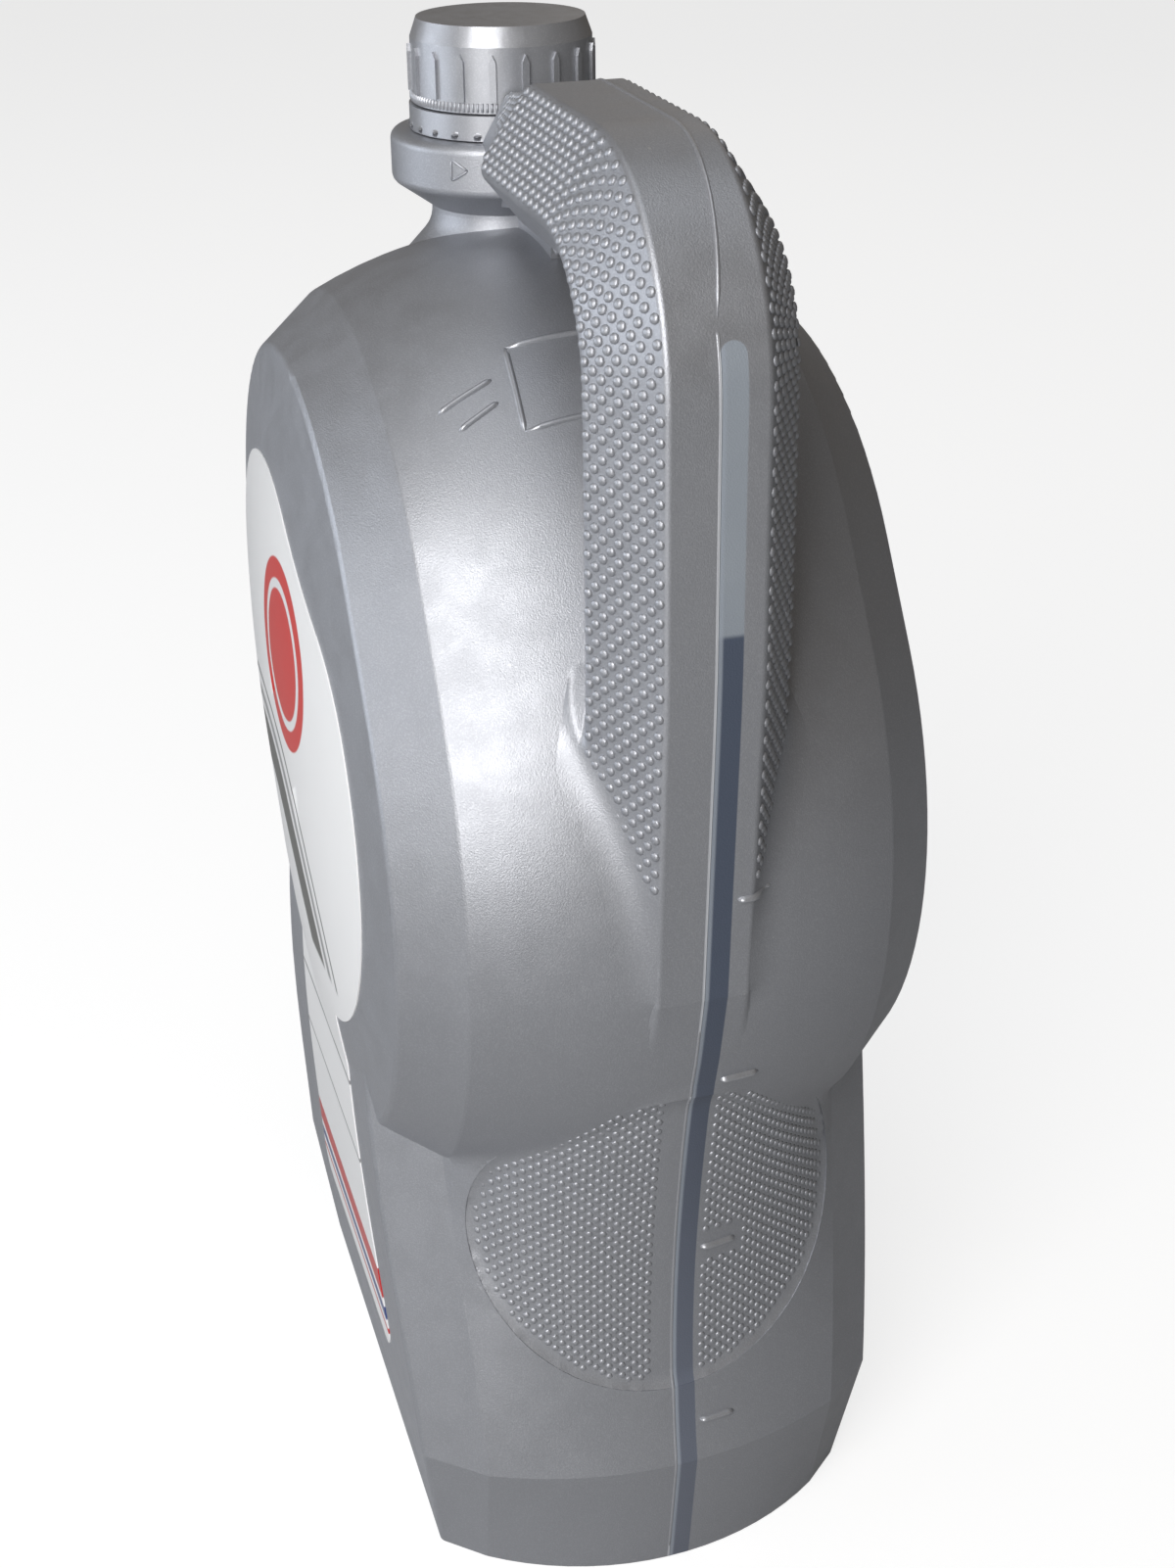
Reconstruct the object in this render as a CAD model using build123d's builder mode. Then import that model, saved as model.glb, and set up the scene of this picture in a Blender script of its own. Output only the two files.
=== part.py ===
from build123d import *
import os

os.makedirs("parts", exist_ok=True)

# Five-litre blow-moulded motor oil bottle. The origin is on the floor under the middle of the
# bottle, +Z is up, the front label faces -Y and the handle is at +X. All lengths are millimetres.

# Shoulder disc: the round upper body, drawn out towards the neck from a low to a high centre
disc_radius = 99.0
disc_low_x = 6.0
disc_low_height = 178.0
disc_lean = 14.0
disc_rise = 19.5
disc_half_depth = 64.5
face_crown = 6.7
rim_crown = 10.5
facet_width = 11.0
facet_depth = 12.8
crease_round = 2.5
disc_high_x = disc_low_x - disc_lean
disc_high_height = disc_low_height + disc_rise
disc_top_height = disc_high_height + disc_radius
rim_crease_radius = disc_radius - rim_crown
face_crease_radius = rim_crease_radius - facet_width
face_crease_half_depth = disc_half_depth - face_crown
rim_crease_half_depth = face_crease_half_depth - facet_depth

# Lower body: each level is a front face, a corner facet and a bowed side
foot_height = 34.0
grip_height = 72.0
waist_height = 102.0
tuck_height = 150.0
base_half_depth = 51.0
foot_half_depth = 55.5
grip_half_depth = 58.0
waist_half_depth = 59.5
tuck_half_depth = 58.5
base_front = 64.6
foot_front = 71.0
grip_front = 62.0
waist_front = 54.0
tuck_front = 45.0
base_corner = 73.0
foot_corner = 82.0
grip_corner = 75.0
waist_corner = 67.5
tuck_corner = 58.0
base_corner_depth = 41.6
foot_corner_depth = 42.4
grip_corner_depth = 44.2
waist_corner_depth = 45.6
tuck_corner_depth = 46.5
base_side = 86.0
foot_side = 91.5
grip_side = 88.5
waist_side = 91.0
tuck_side = 97.5
tuck_shift = 3.0
corner_round = 2.5

# Grip panel: the shallow round pocket in each lower side
panel_radius = 43.0
panel_height = 98.0
panel_depth = 1.2

# Wall of the blow-moulded shell
wall = 1.6

# Neck, collar and finish, stacked upwards from a root that is sunk into the disc
neck_x = -35.0
neck_radius = 16.6
neck_root_sink = 16.5
neck_root_radius = 30.0
neck_flare_rise = 14.5
neck_flare_round = 8.0
neck_straight = 4.0
collar_radius = 25.3
collar_cone_rise = 6.0
collar_band = 10.5
collar_round = 2.0
finish_radius = 17.4
finish_wall = 3.6
finish_rise = 20.0
neck_root_height = disc_top_height - neck_root_sink
neck_flare_height = neck_root_height + neck_flare_rise
collar_underside_height = neck_flare_height + neck_straight
collar_low_height = collar_underside_height + collar_cone_rise
collar_high_height = collar_low_height + collar_band
finish_top_height = collar_high_height + finish_rise
bore_radius = finish_radius - finish_wall

# Tamper ring, liner and cap, stacked on the collar and the finish
ring_wall = 3.05
ring_band = 5.3
ring_seat_gap = 0.3
ring_slit = 0.4
ring_bore_clearance = 0.35
liner_thickness = 1.3
liner_gap = 0.3
liner_clearance = 0.4
cap_wall = 1.8
cap_top_thickness = 1.8
cap_bevel = 1.5
cap_bevel_drop = 4.1
cap_bore_clearance = 0.9
cap_rib_count = 18
cap_rib_width = 1.5
cap_rib_proud = 0.7
cap_rib_root = 0.5
cap_rib_low_margin = 2.4
cap_rib_high_margin = 3.0
cap_rib_point = 1.6
ring_radius = finish_radius + ring_bore_clearance + ring_wall
ring_low_height = collar_high_height + ring_seat_gap
ring_high_height = ring_low_height + ring_band
liner_low_height = finish_top_height + liner_gap
liner_high_height = liner_low_height + liner_thickness
cap_radius = finish_radius + cap_bore_clearance + cap_wall
cap_skirt_height = ring_high_height + ring_slit
cap_top_height = liner_high_height + liner_gap + cap_top_thickness
cap_bevel_height = cap_top_height - cap_bevel_drop
cap_rib_low_height = cap_skirt_height + cap_rib_low_margin
cap_rib_high_height = cap_bevel_height - cap_rib_high_margin

# Handle: a hollow six-sided tube swept from the neck to the side of the disc
handle_stand = 5.3
handle_rise = 19.0
handle_depth = 27.0
handle_face_half_width = 9.7
handle_widest_depth = 16.0
handle_half_width = 21.0
handle_inner_half_width = 12.0
handle_face_round = 1.6
handle_side_round = 3.0
handle_inner_round = 5.0
handle_corner_radius = 28.5
handle_full_reach = 60.0
root_start_reach = 11.0
root_start_drop = 3.5
root_waist_reach = 31.0
root_waist_rise = 0.5
root_depth = 24.0
root_face_half_width = 5.0
root_widest_depth = 11.0
root_start_half_width = 10.5
root_waist_half_width = 11.5
root_inner_half_width = 6.5
root_side_round = 5.0
root_inner_round = 3.0
handle_lean = 4.7
handle_lean_length = 68.0
handle_lean_radius = 300.0
handle_foot_drop = 8.0
cap_relief = 1.4
handle_outer_x = disc_low_x + disc_radius + handle_stand
handle_apex_height = collar_high_height + handle_rise
handle_full_x = neck_x + handle_full_reach
root_start_x = neck_x + root_start_reach
root_start_height = collar_high_height - root_start_drop
root_waist_x = neck_x + root_waist_reach
root_waist_height = collar_high_height + root_waist_rise
handle_foot_x = handle_outer_x - handle_lean
handle_foot_height = disc_low_height - handle_foot_drop
handle_lean_height = handle_foot_height + handle_lean_length

# Web between neck, shoulder and handle
web_reach = 45.5
web_thickness = 3.0
web_bow = 2.5
web_x = neck_x + web_reach

# Front label: a roundel on a tapered column, set out from the disc's face and the foot
label_low_shift = 6.0
label_low_rise = 3.0
label_low_margin = 24.5
label_high_shift = 10.0
label_high_drop = 2.5
label_high_margin = 23.5
label_column_top = 27.0
label_column_foot = 42.0
label_foot_margin = 6.0
label_round = 6.0
label_thickness = 0.3
label_low_x = disc_low_x + label_low_shift
label_low_height = disc_low_height + label_low_rise
label_low_radius = face_crease_radius - label_low_margin
label_high_x = disc_high_x - label_high_shift
label_high_height = disc_high_height - label_high_drop
label_high_radius = face_crease_radius - label_high_margin
label_foot_height = foot_height + label_foot_margin

# Oil, with a headspace of air above it
headspace = 47.0
oil_clearance = 0.3
oil_level = disc_top_height - headspace

overrun = 5.0
HALF_TURN = 180

neck_axis = Axis((neck_x, 0, 0), (0, 0, 1))
neck_side = Plane((neck_x, 0, 0), x_dir=(1, 0, 0), z_dir=(0, -1, 0))


def disc_profile(inset):
    """The disc's section across its centre line, crowned at the front and back."""
    with BuildSketch() as profile:
        with BuildLine():
            ThreePointArc(
                (-face_crease_radius, -face_crease_half_depth),
                (0, -disc_half_depth),
                (face_crease_radius, -face_crease_half_depth),
            )
            Line((face_crease_radius, -face_crease_half_depth),
                 (rim_crease_radius, -rim_crease_half_depth))
            ThreePointArc(
                (rim_crease_radius, -rim_crease_half_depth),
                (disc_radius, 0),
                (rim_crease_radius, rim_crease_half_depth),
            )
            Line((rim_crease_radius, rim_crease_half_depth),
                 (face_crease_radius, face_crease_half_depth))
            ThreePointArc(
                (face_crease_radius, face_crease_half_depth),
                (0, disc_half_depth),
                (-face_crease_radius, face_crease_half_depth),
            )
            Line((-face_crease_radius, face_crease_half_depth),
                 (-rim_crease_radius, rim_crease_half_depth))
            ThreePointArc(
                (-rim_crease_radius, rim_crease_half_depth),
                (-disc_radius, 0),
                (-rim_crease_radius, -rim_crease_half_depth),
            )
            Line((-rim_crease_radius, -rim_crease_half_depth),
                 (-face_crease_radius, -face_crease_half_depth))
        make_face()
        if inset:
            offset(amount=-inset, kind=Kind.INTERSECTION, mode=Mode.REPLACE)
        fillet(profile.vertices(), crease_round)
    return profile.sketch


def disc_form(inset):
    """The round upper body, with every wall moved in by inset."""
    low = Vector(disc_low_x, 0, disc_low_height)
    high = Vector(disc_high_x, 0, disc_high_height)
    along = high - low
    across = along.cross(Vector(0, -1, 0))
    with BuildPart() as disc:
        with BuildSketch(Plane(low, x_dir=across, z_dir=along)):
            add(disc_profile(inset))
        extrude(amount=along.length)
        for centre, turn in ((low, Vector(0, 1, 0)), (high, Vector(0, -1, 0))):
            with BuildSketch(Plane(centre, x_dir=across, z_dir=along)):
                add(disc_profile(inset))
                split(bisect_by=Plane.YZ)
            revolve(axis=Axis(centre, turn), revolution_arc=HALF_TURN)
    return disc.part


def level(height, half_depth, front, corner, corner_depth, side, inset, shift=0):
    """One closed level of the lower body, moved in by inset."""
    with BuildSketch(Plane((shift, 0, height))) as outline:
        with BuildLine():
            Polyline((-front, -half_depth), (front, -half_depth), (corner, -corner_depth))
            ThreePointArc((corner, -corner_depth), (side, 0), (corner, corner_depth))
            Polyline((corner, corner_depth), (front, half_depth), (-front, half_depth))
            Line((-front, half_depth), (-corner, corner_depth))
            ThreePointArc((-corner, corner_depth), (-side, 0), (-corner, -corner_depth))
            Line((-corner, -corner_depth), (-front, -half_depth))
        make_face()
        if inset:
            offset(amount=-inset, kind=Kind.INTERSECTION, mode=Mode.REPLACE)
        fillet(outline.vertices(), corner_round)
    return outline.sketch


def lower_loft(inset):
    """The lower body without its grip panels."""
    base = level(inset, base_half_depth, base_front, base_corner, base_corner_depth,
                 base_side, inset)
    foot = level(foot_height, foot_half_depth, foot_front, foot_corner, foot_corner_depth,
                 foot_side, inset)
    grip = level(grip_height, grip_half_depth, grip_front, grip_corner, grip_corner_depth,
                 grip_side, inset)
    waist = level(waist_height, waist_half_depth, waist_front, waist_corner,
                  waist_corner_depth, waist_side, inset)
    tuck = level(tuck_height, tuck_half_depth, tuck_front, tuck_corner, tuck_corner_depth,
                 tuck_side, inset, tuck_shift)
    with BuildPart() as lower:
        loft([base, foot], ruled=True)
        loft([foot, grip, waist, tuck])
    return lower.part


def lower_form(inset):
    """The lower body with a grip panel in each side."""
    core = lower_loft(inset + panel_depth)
    with BuildPart() as pocket:
        with BuildSketch(Plane.YZ):
            with Locations((0, panel_height)):
                Circle(panel_radius + inset)
        extrude(amount=disc_radius, both=True)
        add(core, mode=Mode.SUBTRACT)
    with BuildPart() as lower:
        add(lower_loft(inset))
        add(pocket.part, mode=Mode.SUBTRACT)
    return lower.part


def handle_section(plane, depth, face_half_width, widest_depth, half_width, inner_half_width,
                   side_round, inner_round, inset):
    """The handle's six-sided section, outer face towards the plane's +Y, moved in by inset."""
    half = depth / 2
    with BuildSketch(plane) as section:
        with BuildLine():
            Polyline(
                (face_half_width, half),
                (half_width, half - widest_depth),
                (inner_half_width, -half),
                (-inner_half_width, -half),
                (-half_width, half - widest_depth),
                (-face_half_width, half),
                close=True,
            )
        make_face()
        if inset:
            offset(amount=-inset, kind=Kind.INTERSECTION, mode=Mode.REPLACE)
        rows = section.vertices().group_by(Axis.Y)
        fillet(rows[-1], handle_face_round)
        fillet(section.vertices().sort_by(Axis.X)[0], side_round)
        fillet(section.vertices().sort_by(Axis.X)[-1], side_round)
        fillet(rows[0], inner_round)
    return section.sketch


def handle_form(inset):
    """The handle tube, its section moved in by inset, cut back around the cap."""
    half = handle_depth / 2
    middle_height = handle_apex_height - half
    middle_x = handle_outer_x - half
    roots = [
        handle_section(
            Plane((x, 0, height), (0, 1, 0), (1, 0, 0)), root_depth, root_face_half_width,
            root_widest_depth, half_width, root_inner_half_width, root_side_round,
            root_inner_round, inset)
        for x, height, half_width in (
            (root_start_x, root_start_height, root_start_half_width),
            (root_waist_x, root_waist_height, root_waist_half_width),
        )
    ]
    full = handle_section(
        Plane((handle_full_x, 0, middle_height), (0, 1, 0), (1, 0, 0)), handle_depth,
        handle_face_half_width, handle_widest_depth, handle_half_width,
        handle_inner_half_width, handle_side_round, handle_inner_round, inset)
    with BuildPart() as handle:
        with BuildLine() as route:
            FilletPolyline(
                (handle_full_x, 0, middle_height),
                (middle_x, 0, middle_height),
                (middle_x, 0, handle_lean_height),
                (handle_foot_x - half, 0, handle_foot_height),
                radius=[handle_corner_radius, handle_lean_radius],
            )
        sweep(full, path=route.wires()[0])
        loft(roots + [full])
        with BuildSketch(Plane((neck_x, 0, collar_high_height - inset))):
            Circle(cap_radius + cap_rib_proud + cap_relief + inset)
        extrude(amount=cap_top_height - collar_high_height + overrun, mode=Mode.SUBTRACT)
    return handle.part


def neck_form(inset, mouth_radius, mouth_height):
    """Neck, collar and finish turned about the neck axis, moved in by inset."""
    with BuildPart() as neck:
        with BuildSketch(neck_side) as profile:
            with BuildLine():
                Polyline(
                    (0, neck_root_height),
                    (neck_root_radius - inset, neck_root_height),
                    (neck_radius - inset, neck_flare_height),
                    (neck_radius - inset, collar_underside_height + inset),
                    (collar_radius - inset, collar_low_height + inset),
                    (collar_radius - inset, collar_high_height - inset),
                    (mouth_radius, collar_high_height - inset),
                    (mouth_radius, mouth_height),
                    (0, mouth_height),
                    close=True,
                )
            make_face()
            flare = profile.vertices().filter_by_position(
                Axis.Y, neck_flare_height, neck_flare_height)
            fillet(flare, neck_flare_round)
            rim = profile.vertices().filter_by_position(
                Axis.X, collar_radius - inset, collar_radius - inset)
            fillet(rim, collar_round)
        revolve(axis=neck_axis)
    return neck.part


def web_form():
    """The flat web in the corner between neck, shoulder and handle."""
    top = handle_apex_height - handle_depth / 2
    with BuildPart() as web:
        with BuildSketch(Plane.XZ):
            with BuildLine():
                Polyline((web_x, top), (neck_x, collar_low_height), (neck_x, neck_root_height),
                         (web_x, neck_root_height))
                ThreePointArc(
                    (web_x, neck_root_height),
                    (web_x - web_bow, (top + neck_root_height) / 2),
                    (web_x, top),
                )
            make_face()
        extrude(amount=web_thickness / 2, both=True)
    return web.part


def bottle_form(inset):
    """The closed bottle below its mouth, with every wall moved in by inset."""
    with BuildPart() as bottle:
        add(disc_form(inset))
        add(lower_form(inset))
        add(handle_form(inset))
    return bottle.part


# Bottle body
outer = bottle_form(0)
outer_neck = neck_form(0, finish_radius, finish_top_height)
web = web_form()
inner = bottle_form(wall)
inner_neck = neck_form(wall, bore_radius, finish_top_height + overrun)
with BuildPart() as bottle_body:
    add(outer)
    add(web)
    add(outer_neck)
    add(inner, mode=Mode.SUBTRACT)
    add(inner_neck, mode=Mode.SUBTRACT)
bottle_body.part.label = "bottle_body"
export_step(bottle_body.part, "parts/bottle_body.step")

# Screw cap
with BuildPart() as cap_rib:
    with BuildSketch(Plane.YZ.offset(cap_radius - cap_rib_root)):
        with BuildLine():
            Polyline(
                (-cap_rib_width / 2, cap_rib_low_height),
                (cap_rib_width / 2, cap_rib_low_height),
                (cap_rib_width / 2, cap_rib_high_height),
                (0, cap_rib_high_height + cap_rib_point),
                (-cap_rib_width / 2, cap_rib_high_height),
                close=True,
            )
        make_face()
    extrude(amount=cap_rib_root + cap_rib_proud)
with BuildPart() as screw_cap:
    with BuildSketch(neck_side):
        with BuildLine():
            Polyline(
                (0, cap_top_height),
                (cap_radius - cap_bevel, cap_top_height),
                (cap_radius, cap_bevel_height),
                (cap_radius, cap_skirt_height),
                (finish_radius + cap_bore_clearance, cap_skirt_height),
                (finish_radius + cap_bore_clearance, cap_top_height - cap_top_thickness),
                (0, cap_top_height - cap_top_thickness),
                close=True,
            )
        make_face()
    revolve(axis=neck_axis)
    with Locations((neck_x, 0, 0)):
        with PolarLocations(0, cap_rib_count):
            add(cap_rib.part)
screw_cap.part.label = "screw_cap"
export_step(screw_cap.part, "parts/screw_cap.step")

# Tamper ring left on the neck
with BuildPart() as tamper_ring:
    with BuildSketch(Plane((neck_x, 0, ring_low_height))):
        Circle(ring_radius)
        Circle(finish_radius + ring_bore_clearance, mode=Mode.SUBTRACT)
    extrude(amount=ring_high_height - ring_low_height)
tamper_ring.part.label = "tamper_ring"
export_step(tamper_ring.part, "parts/tamper_ring.step")

# Cap liner
with BuildPart() as cap_liner:
    with BuildSketch(Plane((neck_x, 0, liner_low_height))):
        Circle(finish_radius + cap_bore_clearance - liner_clearance)
    extrude(amount=liner_high_height - liner_low_height)
cap_liner.part.label = "cap_liner"
export_step(cap_liner.part, "parts/cap_liner.step")

# Front label
label_skin_disc = disc_form(-label_thickness)
label_skin_lower = lower_loft(-label_thickness)
bare_disc = disc_form(0)
bare_lower = lower_loft(0)
with BuildPart() as front_label:
    with BuildSketch(Plane.XZ.offset(rim_crease_half_depth)) as label_outline:
        with Locations((label_low_x, label_low_height)):
            Circle(label_low_radius)
        with Locations((label_high_x, label_high_height)):
            Circle(label_high_radius)
        make_hull()
        with BuildLine():
            Polyline(
                (-label_column_foot, label_foot_height),
                (-label_column_top, label_low_height - label_low_radius),
                (-label_column_top, label_low_height),
                (label_column_top, label_low_height),
                (label_column_top, label_low_height - label_low_radius),
                (label_column_foot, label_foot_height),
                close=True,
            )
        make_face()
        fillet(label_outline.vertices().group_by(Axis.Y)[0], label_round)
    extrude(amount=disc_half_depth - rim_crease_half_depth + overrun)
    skin = label_skin_disc + label_skin_lower - bare_disc - bare_lower
    add(skin, mode=Mode.INTERSECT)
front_label.part.label = "front_label"
export_step(front_label.part, "parts/front_label.step")

# Oil
with BuildPart() as oil_fill:
    add(bottle_form(wall + oil_clearance))
    split(bisect_by=Plane.XY.offset(oil_level), keep=Keep.BOTTOM)
oil_fill.part.label = "oil_fill"
export_step(oil_fill.part, "parts/oil_fill.step")
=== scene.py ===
import math

import bpy
import numpy as np
from mathutils import Matrix, Vector
from mathutils.bvhtree import BVHTree


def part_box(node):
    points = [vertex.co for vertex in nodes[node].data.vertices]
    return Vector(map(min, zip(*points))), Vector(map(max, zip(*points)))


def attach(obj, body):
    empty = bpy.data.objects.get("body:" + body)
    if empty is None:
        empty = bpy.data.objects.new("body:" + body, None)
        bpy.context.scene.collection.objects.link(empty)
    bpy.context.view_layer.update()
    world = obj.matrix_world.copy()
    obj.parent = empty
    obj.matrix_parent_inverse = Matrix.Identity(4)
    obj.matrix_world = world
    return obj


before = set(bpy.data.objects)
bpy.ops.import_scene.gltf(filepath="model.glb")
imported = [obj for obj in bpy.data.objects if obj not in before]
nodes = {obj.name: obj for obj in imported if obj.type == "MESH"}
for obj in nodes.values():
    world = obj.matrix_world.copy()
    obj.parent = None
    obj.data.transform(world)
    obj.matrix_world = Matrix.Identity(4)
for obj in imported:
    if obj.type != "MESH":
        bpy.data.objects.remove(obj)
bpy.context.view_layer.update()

MM = 0.001
ACROSS = Vector((1, 0, 0))
UP = Vector((0, 0, 1))

# Camera at the photograph's viewpoint
CAMERA_PLACE = Vector((464.7, -128.7, 410.8)) * MM
CAMERA_AZIMUTH = math.radians(73.677)
CAMERA_ELEVATION = math.radians(26.851)
CAMERA_ROLL = math.radians(-0.733)
CAMERA_LENS = 51.72
CAMERA_SENSOR = 36.0
CAMERA_NEAREST = 10 * MM

# Lamps, in metres and watts: name, place, width, height, power and colour
LAMP_TARGET = (0, 0, 0.2)
LAMPS = (
    ("key", (1.25, -0.97, 0.98), 1.0, 1.8, 35, (1.0, 0.99, 0.975)),
    ("side", (-0.5, -1.7, 0.4), 1.7, 1.2, 15.5, (0.86, 0.92, 1.0)),
    ("top", (0.1, -0.1, 1.9), 1.2, 1.2, 5.0, (0.92, 0.96, 1.0)),
    ("back", (-1.3, 0.8, 1.1), 0.9, 0.9, 0.9, (1.0, 0.90, 0.78)),
)

# Surround and floor, and the share of their brightness that glossy rays see
SURROUND_COLOUR = (0.97, 0.97, 0.96)
SURROUND_LIGHT_COLOUR = (1.0, 0.86, 0.70)
SURROUND_LIGHT_STRENGTH = 0.02
FLOOR_GLOW = 0.78
FLOOR_HALF = 6.0
FLOOR_DROP = 0.2 * MM
GLOSSY_SHARE = 0.12

# Neck axis, tamper ring, cap and oil, from the frame
ring_low, ring_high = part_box("tamper_ring")
NECK_X = (ring_low.x + ring_high.x) / 2
RING_RADIUS = (ring_high.x - ring_low.x) / 2
RING_LOW = ring_low.z
CAP_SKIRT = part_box("screw_cap")[0].z
OIL_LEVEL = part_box("oil_fill")[1].z

# Walls of the cap and the neck between what stands on them
CAP_RADIUS = 20.1 * MM
FINISH_RADIUS = 17.4 * MM

# Handle's centre line: over from the root, round the corner, down and in to the foot
HANDLE_MIDDLE_HEIGHT = 320.5 * MM
HANDLE_MIDDLE_X = 96.8 * MM
HANDLE_CORNER = 28.5 * MM
HANDLE_LEAN_HEIGHT = 238.0 * MM
HANDLE_FOOT = Vector((92.1, 0, 170.0)) * MM
ROOT_START_X = -8.0 * MM
ROOT_END_X = 25.0 * MM
ROOT_LENGTH = 29.0 * MM
ROOT_DROP = 5.0 * MM
ROUTE_STEP = 0.1 * MM

# Handle's six-sided section, each size first along the handle and then at its root
SECTION_DEPTH = (13.5 * MM, 12.0 * MM)
SECTION_WIDEST = (16.0 * MM, 11.0 * MM)
SECTION_FACE_HALF = (9.7 * MM, 5.0 * MM)
SECTION_HALF = (21.0 * MM, 11.5 * MM)

# Level strip on the handle side of the parting line, and the height of each litre's mark
STRIP_WIDTH = 5.2 * MM
STRIP_TOP = 304.0 * MM
MARK_HEIGHTS = (192.2 * MM, 145.0 * MM, 93.4 * MM, 44.5 * MM)

# Grip panel in each lower side
PANEL_HEIGHT = 98.0 * MM
PANEL_RADIUS = 40.8 * MM

# How far outside the body the rays that look for its surface start
OUTSIDE = 200 * MM

# Section of a raised line as shares of its width and rise, and the size it shrinks to at its ends
LINE_SECTION_SHARES = ((-0.5, -0.3), (-0.3, 0.75), (0.0, 1.0), (0.3, 0.75), (0.5, -0.3))
LINE_END_SHARE = 0.35

# Rings of a dome as shares of its radius and height
DOME_RING_SHARES = ((1.0, -0.15), (0.94, 0.40), (0.68, 0.80))


def heading(angle):
    """The level direction at an angle round the upright axis."""
    return Vector((math.cos(angle), math.sin(angle), 0))


def spaced(first, last, count):
    """Evenly spaced values or places from the first to the last."""
    return [first + (last - first) * k / (count - 1) for k in range(count)]


def make_camera():
    """The camera, looking the way the photograph was taken."""
    level_right = heading(CAMERA_AZIMUTH)
    level_out = Vector((level_right.y, -level_right.x, 0))
    back = level_out * math.cos(CAMERA_ELEVATION) + UP * math.sin(CAMERA_ELEVATION)
    level_up = back.cross(level_right)
    right = math.cos(CAMERA_ROLL) * level_right + math.sin(CAMERA_ROLL) * level_up
    up = math.cos(CAMERA_ROLL) * level_up - math.sin(CAMERA_ROLL) * level_right
    data = bpy.data.cameras.new("camera")
    data.lens = CAMERA_LENS
    data.sensor_width = CAMERA_SENSOR
    data.clip_start = CAMERA_NEAREST
    camera = bpy.data.objects.new("camera", data)
    turn = Matrix((right, up, back)).transposed().to_4x4()
    camera.matrix_world = Matrix.Translation(CAMERA_PLACE) @ turn
    bpy.context.scene.collection.objects.link(camera)
    bpy.context.scene.camera = camera


def area_lamp(name, place, width, height, power, colour):
    """A rectangular soft lamp that points at the lamps' target."""
    data = bpy.data.lights.new(name, "AREA")
    data.shape = "RECTANGLE"
    data.size = width
    data.size_y = height
    data.energy = power
    data.color = colour
    lamp = bpy.data.objects.new(name, data)
    lamp.location = place
    way = Vector(LAMP_TARGET) - Vector(place)
    lamp.rotation_euler = way.to_track_quat("-Z", "Y").to_euler()
    bpy.context.scene.collection.objects.link(lamp)


def make_lights():
    """A tall window-like key lamp left of the camera, and weaker lamps for the other sides."""
    for lamp in LAMPS:
        area_lamp(*lamp)


class Shader:
    """A small helper that adds and joins the nodes of a material or of the world."""

    def __init__(self, owner, surface="Principled BSDF"):
        owner.use_nodes = True
        self.owner = owner
        self.tree = owner.node_tree
        self.surface = self.tree.nodes[surface]

    def feed(self, socket, value):
        """Give an input a number, a colour or another node's output."""
        if isinstance(value, (int, float)):
            socket.default_value = value
        elif isinstance(value, tuple):
            socket.default_value = value + (1,)
        else:
            self.tree.links.new(value, socket)

    def set(self, **values):
        """Feed inputs of the surface, named with underscores for spaces."""
        for name, value in values.items():
            self.feed(self.surface.inputs[name.replace("_", " ")], value)

    def node(self, kind, **settings):
        """A new node with some of its settings given."""
        made = self.tree.nodes.new(kind)
        for name, value in settings.items():
            setattr(made, name, value)
        return made

    def place(self):
        """Object coordinates, which are metres in the part's own frame."""
        return self.node("ShaderNodeTexCoord").outputs["Object"]

    def split(self, vector):
        """The three coordinates of a place."""
        parts = self.node("ShaderNodeSeparateXYZ")
        self.feed(parts.inputs[0], vector)
        return parts.outputs["X"], parts.outputs["Y"], parts.outputs["Z"]

    def math(self, operation, *values):
        """The result of one operation on up to three values."""
        made = self.node("ShaderNodeMath", operation=operation)
        for socket, value in zip(made.inputs, values):
            self.feed(socket, value)
        return made.outputs[0]

    def times(self, product, *others):
        """The product of two or more values."""
        for other in others:
            product = self.math("MULTIPLY", product, other)
        return product

    def length(self, sideways, upwards):
        """The length of a straight line from its reach sideways and upwards."""
        squares = self.math("ADD", self.times(sideways, sideways), self.times(upwards, upwards))
        return self.math("SQRT", squares)

    def ramp(self, value, low, high, low_value=0.0, high_value=1.0, kind="SMOOTHSTEP"):
        """A clamped step from low to high, smooth unless another kind is given."""
        made = self.node("ShaderNodeMapRange", interpolation_type=kind)
        for name, given in (("Value", value), ("From Min", low), ("From Max", high),
                            ("To Min", low_value), ("To Max", high_value)):
            self.feed(made.inputs[name], given)
        return made.outputs["Result"]

    def below(self, value, limit, soft):
        """One below a limit and zero above it, over a soft edge."""
        return self.ramp(value, limit - soft, limit + soft, 1.0, 0.0)

    def between(self, value, low, high, soft):
        """One from low to high and zero outside, over soft edges."""
        return self.times(self.ramp(value, low - soft, low + soft), self.below(value, high, soft))

    def noise(self, vector, scale, detail=2.0, roughness=0.5):
        """Soft noise around one half; the scale is in waves a metre."""
        made = self.node("ShaderNodeTexNoise")
        for name, given in (("Vector", vector), ("Scale", scale), ("Detail", detail),
                            ("Roughness", roughness)):
            self.feed(made.inputs[name], given)
        return made.outputs["Fac"]

    def mix(self, factor, first, second):
        """The first colour where the factor is zero and the second where it is one."""
        made = self.node("ShaderNodeMix", data_type="RGBA")
        for name, given in (("Factor", factor), ("A", first), ("B", second)):
            self.feed(made.inputs[name], given)
        return made.outputs["Result"]

    def bump(self, height, strength, distance, before=None):
        """A bumped normal, on top of the one before it where that is given."""
        made = self.node("ShaderNodeBump")
        for name, given in (("Strength", strength), ("Distance", distance), ("Height", height)):
            self.feed(made.inputs[name], given)
        if before is not None:
            self.feed(made.inputs["Normal"], before)
        return made.outputs["Normal"]


def new_shader(name):
    """The shader of a new material."""
    return Shader(bpy.data.materials.new(name))


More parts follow.
